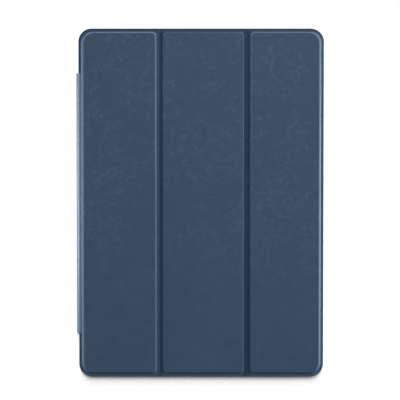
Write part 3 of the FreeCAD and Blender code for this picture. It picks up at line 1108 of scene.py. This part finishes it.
@dataclass
class CoverPanel:
    """A stiffened third of the cover: skin formed over a board, and the lining under it."""

    name: str
    outer: Side
    crown: Crown
    # Painted into the skin's colour: highlights on crests, and shade, partly pressed lines, on hems
    # and beside grooves.
    worn_highlight: Sides
    hem_pressed_and_shade: Sides
    groove_pressed_and_shade: Sides
    skin: float = 0.7
    lining: float = 0.4
    margin: float = 2.1
    foot_radius: float = 0.2
    crown_height: float = 1.0
    outer_corner: float = 9.75
    groove_corner: float = 2.7
    corner_steps: int = 14
    groove_steps: int = 8
    rise_steps: int = 7
    support: float = 0.1
    apart: float = 50.0
    seam: float = 0.05
    hem: float = 0.3
    hem_steps: int = 3
    hem_facing: Span = (0.3, 0.95)
    profile: float = 1.5
    # How far the hem's painted shade climbs the rise.
    hem_climb: float = 0.55
    # Painted shade on the rise, mostly at the bottom end that turns from the light.
    ridge_low: float = 0.6
    ridge_painted_shade: Sides = Sides(bottom=0.9)
    # Painted light on the bottom margin, which the raised area shades.
    hem_painted_light: Sides = Sides(bottom=0.1)
    # Reach of the painted shade beside the grooves, partly pressed lines.
    press_width: float = 1.6
    press_height: float = 1.15

    def __post_init__(self) -> None:
        """Read the panel's place from its CAD nodes."""
        low, high = box_mm(f"{self.name}_skin")
        inner_low, inner_high = box_mm(f"{self.name}_board")
        self.left, self.right, self.half = low.x, high.x, high.y
        self.raised_left, self.raised_right = inner_low.x - self.skin, inner_high.x + self.skin
        self.raised_half = inner_high.y + self.skin
        self.flat = low.z + self.skin
        self.lining_top = box_mm(f"{self.name}_lining")[0].z + self.lining
        self.spine_half = box_mm("spine_skin")[1].y
        reach = self.foot_radius + self.support + self.seam
        self.roll_line = self.raised_left - reach
        if self.outer is not Side.SPINE:
            self.left -= reach
        if self.outer is not Side.FREE:
            self.right += reach

    def layers(self, palette: Palette) -> tuple[Layer, Layer]:
        """The skin and the lining, with how far under the outer surface each lies."""
        skin = Layer("skin", "leather", "cover_skin", palette.leather, 0.0, self.skin)
        return skin, Layer("lining", "cloth", "lining", palette.lining, self.skin, self.lining)

    def border(self, level: float) -> Rectangle:
        """The rectangle of the whole panel at a level."""
        return Rectangle(self.left, self.right, self.half, level)

    def raised(self) -> Rectangle:
        """The rectangle of the raised area at its foot."""
        return Rectangle(self.raised_left, self.raised_right, self.raised_half, self.flat)

    def rise(self) -> list[Rectangle]:
        """The lines of the rounded rise, from its foot to its top.

        Returns:
            A rectangle for each line.
        """
        turns = [QUARTER_TURN * step / self.rise_steps for step in range(1, self.rise_steps + 1)]
        foot, edge = self.foot_radius, self.flat + self.foot_radius
        top = edge + self.crown_height
        lines = [(foot + self.support, 0.0, self.flat), (foot, 0.0, self.flat)]
        for turn in turns:
            level = self.flat + foot * (1 - math.cos(turn))
            lines.append((foot * (1 - math.sin(turn)), 0.0, level))
        for turn in turns[:-1]:
            climb = self.crown_height * math.sin(turn) ** self.profile
            lines.append((0.0, 1 - math.cos(turn) ** self.profile, edge + climb))
        lines += [(0.0, 1.0, top), (-self.support, 1.0, top)]
        return [
            Rectangle(
                self.raised_left - out + share * self.crown.left,
                self.raised_right + out - share * self.crown.right,
                self.raised_half + out - share * self.crown.ends,
                level,
            )
            for out, share, level in lines
        ]

    def outline(
        self, piece: Workpiece, area: Rectangle, outer: float, groove: float | None = None
    ) -> None:
        """Draw the outline of a rectangle, with the cover's own corners rounded.

        Args:
            piece: The mesh on the bench.
            area: The rectangle.
            outer: Corner radius on the side that is the cover's own edge.
            groove: Corner radius on the other sides, which else stay sharp with as many points.
        """
        piece.lay_plate(area.left, area.right, -area.half, area.half, area.level)
        sharp = (self.groove_corner, self.groove_steps, SQUARE)
        beside = sharp if groove is None else (groove, self.groove_steps, ROUND)
        for x, side in ((area.left, Side.SPINE), (area.right, Side.FREE)):
            own = (outer, self.corner_steps, ROUND)
            for y in (-area.half, area.half):
                piece.round_corner(x, y, *(own if self.outer is side else beside))
        piece.open_outline()

    def at_roll(self, place: Vector, normal: Vector) -> bool:
        """Whether a face is on the border where the spine's roll joins the panel."""
        return place.x < self.roll_line and abs(place.y) < self.spine_half

    def open_for_spine(self, piece: Workpiece) -> None:
        """Cut the border away where the spine's roll joins the panel.

        Args:
            piece: The mesh on the bench.
        """
        for line in (-self.spine_half, self.spine_half):
            piece.pick(Pick.FACES, lambda p, n: p.x < self.roll_line)
            piece.cut_along(line)
        piece.pick(Pick.FACES, self.at_roll)
        piece.cut_across(self.roll_line)
        piece.pick(Pick.FACES, self.at_roll)
        bpy.ops.mesh.delete(type="FACE")

    def at_seam(self, place: Vector) -> bool:
        """Whether a place is on a line where the next piece of the same sheet joins.

        Args:
            place: The place.

        Returns:
            Whether it is.
        """
        if self.outer is Side.SPINE and near(place.x, self.roll_line):
            return abs(place.y) < self.spine_half
        at_left = near(place.x, self.left) and self.outer is not Side.SPINE
        return at_left or (near(place.x, self.right) and self.outer is not Side.FREE)

    def on_outer_edge(self, place: Vector, normal: Vector) -> bool:
        """Whether an edge goes round the outside of the skin.

        Args:
            place: The middle of the edge.
            normal: The mean normal there.

        Returns:
            Whether it does.
        """
        low, high = self.hem_facing
        level = abs(place.z - self.flat) < TOUCH / 2
        return level and low < normal.z < high and not self.at_seam(place)

    def build_skin(self, layer: Layer) -> Workpiece:
        """Model the skin: flat border, rounded rise and raised flat.

        Args:
            layer: The sheet that it is cut from.

        Returns:
            The skin on the bench.
        """
        piece = Workpiece(self.name, layer)
        lines = self.rise()
        out = self.foot_radius + self.support
        corner = self.outer_corner - self.margin + out
        self.outline(piece, lines[0], corner, self.groove_corner + out)
        piece.pick_open()
        for before, after in zip(lines, lines[1:]):
            piece.draw_in(before, after)
        bpy.ops.mesh.edge_face_add()
        below = self.flat - self.apart
        self.outline(piece, self.border(below), self.outer_corner)
        piece.pick_open()
        bpy.ops.mesh.bridge_edge_loops()
        piece.pick(Pick.POINTS, lambda p, n: near(p.z, below))
        piece.move(0.0, 0.0, self.apart)
        piece.face_towards(UP)
        if self.outer is Side.SPINE:
            self.open_for_spine(piece)
        piece.thicken(layer.thickness)
        piece.soften(self.hem, self.hem_steps, self.on_outer_edge)
        # Painted shade on grooves, hems and rises, and painted highlights on crests.
        piece.mark(PRESSED_AND_SHADE, lambda p: max(self.beside_groove_shade(p), self.on_hem_shade(p), self.painted_ridge_shade(p)))
        piece.mark(WORN_AND_HIGHLIGHT, self.painted_crest_highlight)
        return piece

    def height(self, place: Vector) -> float:
        """How far a place is above the foot of the rounded rise."""
        return place.z - self.flat - self.foot_radius

    def beside_groove_shade(self, place: Vector) -> float:
        """How much painted shade, partly a pressed line, darkens a place beside a fold groove.

        Args:
            place: The place.

        Returns:
            A share from 0 to 1.
        """
        left = share_of(self.raised_left + self.press_width - place.x, self.press_width)
        right = share_of(place.x - self.raised_right + self.press_width, self.press_width)
        beside = max(self.groove_pressed_and_shade.left * left, self.groove_pressed_and_shade.right * right)
        below = share_of(self.flat + self.press_height - place.z, self.press_height)
        return beside * below * share_of(self.border(self.flat).along(place), self.margin)

    def on_hem_shade(self, place: Vector) -> float:
        """How much painted shade, partly a pressed line, darkens a place on the hem round the
        cover, or just above it.

        Args:
            place: The place.

        Returns:
            A share from 0 to 1.
        """
        border = self.border(self.flat)
        edges = {Side.SPINE: place.x - border.left, Side.FREE: border.right - place.x}
        off_corner = edges.get(self.outer, border.half) > self.outer_corner
        inside = off_corner and self.raised_half - abs(place.y) > self.crown.ends
        if inside or self.height(place) > self.hem_climb:
            return 0.0
        return self.hem_pressed_and_shade.end(place) if off_corner else self.hem_pressed_and_shade.at(place, border)

    def painted_ridge_shade(self, place: Vector) -> float:
        """How much painted shade darkens a place on the upper part of the rounded rise, where it
        turns from the light.

        Args:
            place: The place.

        Returns:
            A share from 0 to 1.
        """
        if not self.ridge_low < self.height(place) < self.crown_height - TOUCH:
            return 0.0
        return self.ridge_painted_shade.at(place, self.raised())

    def painted_crest_highlight(self, place: Vector) -> float:
        """How much painted highlight, partly wear, lightens a place on the hem or the rounded rise.

        Args:
            place: The place.

        Returns:
            A share from 0 to 1.
        """
        height = self.height(place)
        if height < -TOUCH:
            return self.hem_painted_light.at(place, self.raised())
        if height > self.crown_height - TOUCH:
            return 0.0
        pressed = max(self.on_hem_shade(place), self.painted_ridge_shade(place))
        return self.worn_highlight.at(place, self.raised()) * (1.0 - pressed)

    def build_lining(self, layer: Layer) -> Workpiece:
        """Model the lining, which lies flat under the board.

        Args:
            layer: The sheet that it is cut from.

        Returns:
            The lining on the bench.
        """
        piece = Workpiece(self.name, layer)
        self.outline(piece, self.border(self.lining_top), self.outer_corner)
        piece.pick_open()
        bpy.ops.mesh.edge_face_add()
        piece.face_towards(UP)
        if self.outer is Side.SPINE:
            piece.pick(Pick.FACES, anywhere)
            piece.cut_across(self.roll_line)
            self.open_for_spine(piece)
        piece.thicken(layer.thickness)
        return piece

    def dress(self, palette: Palette) -> None:
        """Build the panel's two sheets and put them on their body.

        Args:
            palette: The case's materials.
        """
        skin, lining = self.layers(palette)
        self.build_skin(skin).ride(self.name)
        self.build_lining(lining).ride(self.name)

    def cut_size(self) -> tuple[float, float]:
        """Measure the skin over its rise.

        Returns:
            The width and length that it is cut to, in metres.
        """
        lines = [self.border(self.flat), *self.rise()]
        width, length = lines[-1].width, 2 * lines[-1].half
        for low, high in zip(lines, lines[1:]):
            climb = high.level - low.level
            width += math.hypot(high.left - low.left, climb)
            width += math.hypot(high.right - low.right, climb)
            length += 2 * math.hypot(high.half - low.half, climb)
        return width * MM, length * MM

    def declare(self) -> None:
        """Measure the skin's cut size, which is then not used.
        """
        self.cut_size()


@dataclass
class FoldStrip:
    """The soft floor of a fold groove between two panels."""

    name: str
    before: CoverPanel
    after: CoverPanel
    dip: float = 0.06
    crease: float = 0.12
    lowest: float = 0.5
    # How far across the groove its painted shade builds up.
    fade: float = 0.0
    columns: int = 14

    def lines(self) -> list[tuple[float, float]]:
        """Space the strip's lines across the groove.

        Returns:
            The place of each line, and how far it is pressed in, from 0 to 1.
        """
        found = []
        for number in range(1, self.columns):
            share = number / self.columns
            early = share < self.lowest
            turn = share / self.lowest if early else (1 - share) / (1 - self.lowest)
            place = self.before.right + share * (self.after.left - self.before.right)
            found.append((place, math.sin(QUARTER_TURN * turn) ** 2))
        return found

    def on_outer_end(self, place: Vector, normal: Vector) -> bool:
        """Whether an edge is at an end of the strip, on its outer surface."""
        low, high = self.before.hem_facing
        return near(abs(place.y), self.before.half) and low < normal.z < high

    def build(self, layer: Layer, top: float, pressed: float) -> Workpiece:
        """Model one layer of the strip.

        Args:
            layer: The sheet that it is cut from.
            top: Its upper level.
            pressed: How far its middle is pressed in, from above, or from below if negative.

        Returns:
            The layer on the bench.
        """
        piece = Workpiece(self.name, layer)
        panel = self.before
        piece.lay_plate(panel.right, self.after.left, -panel.half, panel.half, top)
        for place, _ in self.lines():
            piece.pick(Pick.FACES, anywhere)
            piece.cut_across(place)
        for place in (panel.margin - panel.half, panel.half - panel.margin):
            piece.pick(Pick.FACES, anywhere)
            piece.cut_along(place)
        piece.thicken(layer.thickness)
        level = top if pressed > 0 else top - layer.thickness
        for place, share in self.lines():
            piece.pick(Pick.POINTS, lambda p, n: near(p.x, place) and near(p.z, level))
            piece.move(0.0, 0.0, -pressed * share)
        if pressed > 0:
            piece.soften(panel.hem, panel.hem_steps, self.on_outer_end)
            # Painted shade on the groove's floor, partly a pressed line.
            piece.mark(PRESSED_AND_SHADE, self.pressed)
        return piece

    def pressed(self, place: Vector) -> float:
        """How much painted shade, partly a pressed line, darkens a place on the groove's floor.

        Args:
            place: The place.

        Returns:
            A share from 0 to 1.
        """
        across = (place.x - self.before.right) / (self.after.left - self.before.right)
        share = share_of(across, self.fade) if self.fade else 1.0
        held = share_of(self.before.half - abs(place.y), self.before.margin)
        return share * held + self.before.hem_pressed_and_shade.end(place) * (1.0 - held)

    def dress(self, palette: Palette) -> None:
        """Build both layers, in place of their CAD nodes.

        Args:
            palette: The case's materials.
        """
        panel, after = self.before, self.after
        skin, lining = panel.layers(palette)
        start = Vector((panel.right, 0.0, panel.flat))
        end = Vector((after.left, 0.0, panel.flat))
        strips = ((skin, panel.flat, self.dip), (lining, panel.lining_top, -self.crease))
        for layer, top, pressed in strips:
            self.build(layer, top, pressed).bend(panel.name, after.name, start, end)


@dataclass
class SpineWrap:
    """The strip of skin and lining round the long edge, from the panel to the back of the tray."""

    panel: CoverPanel
    tail: float = 0.15
    upper_radius: float = 5.2
    roll_steps: int = 16
    hem: float = 0.25
    hem_steps: int = 3
    flap_corner: float = 6.0
    corner_steps: int = 10
    end_facing: float = 0.4
    outer_facing: float = 0.3
    flat_facing: float = 0.5
    flap_facing: Span = (-0.95, -0.3)

    def __post_init__(self) -> None:
        """Read the strip's place from its CAD nodes."""
        low, high = box_mm("spine_skin")
        self.face, self.low, self.high, self.half = low.x, low.z, high.z, high.y
        self.flap_low, self.flap_high = box_mm("flap_skin")
        self.seam = self.panel.roll_line
        middle = self.face + self.upper_radius
        drop = math.sqrt(self.upper_radius**2 - (middle - self.seam) ** 2)
        self.axis = Vector((middle, 0.0, self.panel.flat - drop))

    def build_upper(self, layer: Layer) -> Workpiece:
        """Model one layer of the soft roll from the panel down to the spine.

        Args:
            layer: The sheet that it is cut from.

        Returns:
            The layer on the bench.
        """
        piece = Workpiece("upper_hinge", layer)
        radius = self.upper_radius - layer.depth
        lean = math.asin((self.axis.x - self.seam) / radius)
        level = self.axis.z + radius * math.cos(lean)
        piece.lay_plate(self.seam, self.seam + self.tail, -self.half, self.half, level)
        piece.pick(Pick.EDGES, lambda p, n: near(p.x, self.seam))
        piece.roll(self.axis, QUARTER_TURN - lean, self.roll_steps)
        piece.pick(Pick.FACES, lambda p, n: p.x > self.seam)
        bpy.ops.mesh.delete(type="FACE")
        self.finish_roll(piece, self.axis)
        return piece

    def build_lower(self, layer: Layer) -> Workpiece:
        """Model one layer of the soft roll from the flap up to the spine.

        Args:
            layer: The sheet that it is cut from.

        Returns:
            The layer on the bench.
        """
        piece = Workpiece("lower_hinge", layer)
        begin, level = self.flap_low.x, self.flap_low.z + layer.depth
        middle = begin - self.tail
        axis = Vector((middle, 0.0, self.flap_low.z + middle - self.face))
        piece.lay_plate(middle, begin, -self.half, self.half, level)
        piece.pick(Pick.EDGES, lambda p, n: near(p.x, middle))
        piece.roll(axis, -QUARTER_TURN, self.roll_steps)
        piece.extrude(0.0, 0.0, self.low - axis.z)
        self.finish_roll(piece, axis)
        return piece

    def finish_roll(self, piece: Workpiece, axis: Vector) -> None:
        """Give a roll its thickness and soften its ends.

        Args:
            piece: The roll on the bench.
            axis: A place on the line that it goes round.
        """

        def on_outer_end(place: Vector, normal: Vector) -> bool:
            """Whether an edge is at an end of the roll, on its outer surface.

            Args:
                place: The middle of the edge.
                normal: The mean normal there.

            Returns:
                Whether it is.
            """
            away = Vector((place.x - axis.x, 0.0, place.z - axis.z)).normalized()
            outer = normal.dot(away) > self.outer_facing and abs(normal.y) > self.end_facing
            return outer and near(abs(place.y), self.half)

        piece.face_towards(SPINEWARDS)
        piece.thicken(piece.layer.thickness)
        piece.soften(self.hem, self.hem_steps, on_outer_end)

    def build_flat(self, layer: Layer) -> Workpiece:
        """Model one layer of the flat of the spine, with softened ends.

        Args:
            layer: The sheet that it is cut from.

        Returns:
            The layer on the bench.
        """

        def on_outer_end(place: Vector, normal: Vector) -> bool:
            """Whether an edge is at an end of the flat, on its outer surface."""
            at_end = near(place.x, low.x) and near(abs(place.y), self.half)
            return at_end and normal.x < -self.flat_facing

        piece = Workpiece("spine", layer)
        low, high = box_mm(piece.node)
        piece.lay_plate(low.x, high.x, low.y, high.y, self.axis.z)
        piece.thicken(self.axis.z - low.z)
        piece.soften(self.hem, self.hem_steps, on_outer_end)
        return piece

    def build_flap(self, layer: Layer) -> Workpiece:
        """Model the flap of skin that is glued to the back of the tray.

        Args:
            layer: The sheet that it is cut from.

        Returns:
            The flap on the bench.
        """

        def on_outer_edge(place: Vector, normal: Vector) -> bool:
            """Whether an edge goes round the outside of the flap."""
            facing = self.flap_facing[0] < normal.z < self.flap_facing[1]
            return near(place.z, low.z) and facing and not near(place.x, low.x)

        low, high = self.flap_low, self.flap_high
        piece = Workpiece("flap", layer)
        piece.lay_plate(low.x, high.x, low.y, high.y, low.z)
        for side in (low.y, high.y):
            piece.round_corner(high.x, side, self.flap_corner, self.corner_steps)
        piece.face_towards(DOWN)
        piece.thicken(high.z - low.z)
        piece.soften(self.hem, self.hem_steps, on_outer_edge)
        return piece

    def dress(self, palette: Palette) -> None:
        """Build the strip's layers; the flats go on the spine and the flap on the shell, and the
        rolls stay on no body.

        Args:
            palette: The case's materials.
        """
        layers = self.panel.layers(palette)
        seam = Vector((self.seam, 0.0, self.panel.flat))
        spine_top = Vector((self.face, 0.0, self.high))
        spine_low = Vector((self.face, 0.0, self.low))
        flap_edge = Vector((self.flap_low.x, 0.0, self.flap_low.z))
        for layer in layers:
            self.build_upper(layer).bend("spine", self.panel.name, spine_top, seam)
            self.build_lower(layer).bend("shell", "spine", flap_edge, spine_low)
            self.build_flat(layer).ride("spine")
        flap = self.build_flap(layers[0]).ride("shell")


@dataclass
class Tray:
    """The clear tray that holds the tablet."""

    node: str = "back_shell"
    weld: float = 0.002
    smooth_angle: float = 28.0

    def dress(self, palette: Palette) -> None:
        """Take a welded, smooth copy of the moulding and put it on its body.

        Args:
            palette: The case's materials.
        """
        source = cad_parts[self.node]
        moulding = bpy.data.objects.new("clear_tray", source.data.copy())
        moulding.data.name = moulding.name
        bpy.context.scene.collection.objects.link(moulding)
        bpy.ops.object.select_all(action="DESELECT")
        moulding.select_set(True)
        bpy.context.view_layer.objects.active = moulding
        bpy.ops.object.mode_set(mode="EDIT")
        bpy.ops.mesh.select_all(action="SELECT")
        bpy.ops.mesh.remove_doubles(threshold=self.weld * MM)
        bpy.ops.object.mode_set(mode="OBJECT")
        bpy.ops.object.shade_smooth_by_angle(angle=math.radians(self.smooth_angle))
        moulding.data.materials.clear()
        moulding.data.materials.append(palette.clear)
        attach(moulding, "shell")
        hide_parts(self.node)
        LOG.info("%s: %d faces", moulding.name, len(moulding.data.polygons))


@dataclass
class HiddenParts:
    """The stiff parts between skin and lining, which keep their CAD meshes."""

    panels: tuple[str, ...] = ("hinge_panel_board", "middle_panel_board", "free_panel_board")
    stiffener: str = "spine_stiffener"
    film: str = "flap_tape"
    plate: str = "stand_plate"
    magnets: tuple[str, ...] = ("closing_magnets", "wake_magnet")

    def dress(self, palette: Palette) -> None:
        """Give each part its finish.

        Args:
            palette: The case's materials.
        """
        finishes = {
            **dict.fromkeys((*self.panels, self.stiffener), palette.board),
            self.film: palette.film,
            self.plate: palette.steel,
            **dict.fromkeys(self.magnets, palette.nickel),
        }
        for name, material in finishes.items():
            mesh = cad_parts[name].data
            mesh.materials.clear()
            mesh.materials.append(material)
            LOG.info("%s: %s", name, material.name)


@dataclass(frozen=True)
class Lamp:
    """A soft rectangular lamp that points at the case."""

    name: str
    place: Triple
    width: float
    height: float
    power: float
    lights: Lit = Lit.CASE

    def build(self, target: Vector, floor: bpy.types.Object) -> None:
        """Hang the lamp, and let it light the floor alone or all but the floor.

        Args:
            target: Where it points, in metres.
            floor: The floor.
        """
        light = bpy.data.lights.new(self.name, "AREA")
        light.shape = "RECTANGLE"
        light.size = self.width * MM
        light.size_y = self.height * MM
        light.energy = self.power
        lamp = bpy.data.objects.new(self.name, light)
        lamp.location = Vector(self.place) * MM
        lamp.rotation_euler = (target - lamp.location).to_track_quat("-Z", "Y").to_euler()
        lamp.visible_camera = False
        bpy.context.scene.collection.objects.link(lamp)
        reach = bpy.data.collections.new(f"{self.name}_reach")
        reach.objects.link(floor)
        reach.collection_objects[0].light_linking.link_state = self.lights.value
        lamp.light_linking.receiver_collection = reach


@dataclass
class Studio:
    """Floor, light and camera."""

    target: Triple = (0.26, 2.48, 12.0)
    distance: float = 690.5
    tilt: float = 1.4
    lens: float = 85.0
    sensor: float = 36.0
    floor_size: float = 6000.0
    floor_level: float = -0.05
    floor_seen: float = 1.15
    floor_lit: float = 0.5
    floor_edge: Span = (20.0, 45.0)
    sight_depth: float = 90.0
    sight_samples: int = 64
    sight_span: Span = (0.02, 0.10)
    no_bounce: float = 0.5
    fill: float = 0.35
    bright_way: Triple = (0.8, 0.6, 0.0)
    bright_span: Span = (0.0, 0.8)
    dim: float = 0.2
    lamps: tuple[Lamp, ...] = (
        Lamp("floor_lamp", (0.0, 540.0, 1950.0), 300.0, 520.0, 20.7, Lit.FLOOR),
        Lamp("floor_far_lamp", (0.0, 900.0, 1950.0), 300.0, 1220.0, 18.6, Lit.FLOOR),
        Lamp("key_lamp", (1150.0, 1900.0, 2400.0), 1305.0, 1305.0, 88.0),
        Lamp("left_card", (-700.0, 0.0, 24.0), 400.0, 44.0, 8.8),
        Lamp("right_card", (700.0, 0.0, 24.0), 400.0, 44.0, 7.0),
        Lamp("under_lamp", (0.0, 0.0, -1500.0), 900.0, 900.0, 8.0),
    )

    def rays(self, bench: NodeBench) -> tuple[Sockets, Socket]:
        """What tells rays apart, and whether a ray has met no dull surface yet."""
        path = bench.add("ShaderNodeLightPath").outputs
        return path, bench.math("LESS_THAN", path["Diffuse Depth"], self.no_bounce)

    def build_world(self) -> None:
        """Make a white surround that lights the case softly, more from the top right."""
        world = bpy.data.worlds.new("surround")
        world.use_nodes = True
        bpy.context.scene.world = world
        bench = NodeBench(world.node_tree)
        way = bench.add("ShaderNodeTexCoord").outputs["Generated"]
        towards = bench.vector("DOT_PRODUCT", way, self.bright_way)["Value"]
        above = bench.math("GREATER_THAN", bench.part(way, "Z"), 0.0)
        glow = bench.times(above, bench.spread(towards, self.bright_span, (self.dim, 1.0)))
        path, direct = self.rays(bench)
        mirrored = bench.times(path["Is Glossy Ray"], direct)
        soft = bench.times(glow, bench.spread(mirrored, WHOLE, (self.fill, 1.0)))
        through = bench.times(path["Is Transmission Ray"], direct)
        plain = bench.most(path["Is Camera Ray"], through)
        surround = {"Color": WHITE, "Strength": bench.most(plain, soft)}
        bench.feed(world.node_tree.nodes["Background"], surround)

    def seen(self, bench: NodeBench) -> Socket:
        """Whether a ray comes from the camera, a reflection or through the clear tray.

        Args:
            bench: The floor's tree.

        Returns:
            1 if it does, and else 0.
        """
        path, direct = self.rays(bench)
        mirrored = bench.most(path["Is Glossy Ray"], path["Is Transmission Ray"])
        return bench.most(path["Is Camera Ray"], bench.times(mirrored, direct))

    def opened(self, bench: NodeBench) -> Socket:
        """Where the floor lets rays through, so that a cover turned below it stays in view.

        Light passes everywhere, and so do views from below. Views from above pass well away
        from the closed case, and wherever something is just under the floor.

        Args:
            bench: The floor's tree.

        Returns:
            How open it is, from 0 to 1.
        """
        path = bench.add("ShaderNodeLightPath").outputs
        place = bench.add("ShaderNodeNewGeometry").outputs
        off_middle = bench.vector("ABSOLUTE", place["Position"])["Vector"]
        beside = bench.vector("SUBTRACT", off_middle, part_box("free_panel_skin")[1])["Vector"]
        away = bench.vector("LENGTH", bench.vector("MAXIMUM", beside)["Vector"])["Value"]
        start, end = self.floor_edge
        far = bench.times(bench.spread(away, (start * MM, end * MM)), path["Is Camera Ray"])
        depth = {"Distance": self.sight_depth * MM}
        clear = bench.add(
            "ShaderNodeAmbientOcclusion", depth, inside=True, samples=self.sight_samples
        )
        covered = bench.math("SUBTRACT", 1.0, clear.outputs["AO"])
        light = bench.most(path["Is Shadow Ray"], place["Backfacing"])
        return bench.most(light, bench.most(bench.spread(covered, self.sight_span), far))

    def build_floor(self) -> bpy.types.Object:
        """Lay a white floor that keeps the shadow of the case.

        Returns:
            The floor.
        """
        bpy.ops.object.select_all(action="DESELECT")
        level = (0.0, 0.0, self.floor_level * MM)
        bpy.ops.mesh.primitive_plane_add(size=self.floor_size * MM, location=level)
        floor = bpy.context.object
        floor.name = "floor"
        material = bpy.data.materials.new("white_floor")
        material.use_nodes = True
        tree = material.node_tree
        tree.nodes.remove(tree.nodes["Principled BSDF"])
        bench = NodeBench(tree)
        tone = bench.blend(self.seen(bench), (self.floor_lit,) * 3, (self.floor_seen,) * 3)
        paint = bench.add("ShaderNodeBsdfDiffuse", {"Color": tone}).outputs[0]
        window = bench.add("ShaderNodeBsdfTransparent").outputs[0]
        surface = bench.add("ShaderNodeMixShader", {0: self.opened(bench), 1: paint, 2: window})
        bench.feed(tree.nodes["Material Output"], {"Surface": surface.outputs[0]})
        floor.data.materials.append(material)
        return floor

    def build_camera(self) -> None:
        """Set a camera over the case, which leans a little from the top end."""
        camera = bpy.data.objects.new("camera", bpy.data.cameras.new("camera"))
        camera.data.lens = self.lens
        camera.data.sensor_width = self.sensor
        lean = math.radians(self.tilt)
        away = Vector((0.0, math.sin(lean), math.cos(lean))) * self.distance
        camera.location = (Vector(self.target) + away) * MM
        camera.rotation_euler = (-lean, 0.0, 0.0)
        bpy.context.scene.collection.objects.link(camera)
        bpy.context.scene.camera = camera

    def build(self) -> None:
        """Set up the whole studio."""
        bpy.context.scene.view_settings.view_transform = "Standard"
        self.build_world()
        floor = self.build_floor()
        for lamp in self.lamps:
            lamp.build(Vector(self.target) * MM, floor)
        self.build_camera()


def main() -> None:
    """Build the case, light it and set the camera."""
    logging.basicConfig(level=logging.INFO, format="%(message)s")
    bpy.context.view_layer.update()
    palette = mix_palette()
    # Per side: painted highlights on the crests, and painted shade on hems and beside the grooves.
    hinge_panel = CoverPanel(
        "hinge_panel",
        Side.SPINE,
        crown=Crown(left=2.0, right=1.2, ends=1.4),
        worn_highlight=Sides(left=0.12, right=0.68, top=1.0, bottom=0.2),
        hem_pressed_and_shade=Sides(left=1.0, top=0.8),
        groove_pressed_and_shade=Sides(),
    )
    middle_panel = CoverPanel(
        "middle_panel",
        Side.NONE,
        crown=Crown(left=2.4, right=1.0, ends=1.4),
        worn_highlight=Sides(right=0.17, top=0.07, bottom=0.2),
        hem_pressed_and_shade=Sides(top=0.8),
        groove_pressed_and_shade=Sides(left=0.88, right=1.0),
    )
    free_panel = CoverPanel(
        "free_panel",
        Side.FREE,
        crown=Crown(left=2.4, right=1.6, ends=1.4),
        worn_highlight=Sides(right=0.34, top=0.8, bottom=0.2),
        hem_pressed_and_shade=Sides(right=0.2, top=0.8),
        groove_pressed_and_shade=Sides(left=0.88),
    )
    parts = (
        hinge_panel,
        middle_panel,
        free_panel,
        FoldStrip("fold_1", hinge_panel, middle_panel, lowest=0.75, fade=1.0),
        FoldStrip("fold_2", middle_panel, free_panel),
        SpineWrap(hinge_panel),
        Tray(),
        HiddenParts(),
    )
    for part in parts:
        part.dress(palette)
    hinge_panel.declare(
    )
    middle_panel.declare()
    free_panel.declare()
    Studio().build()


if __name__ == "__main__":
    main()
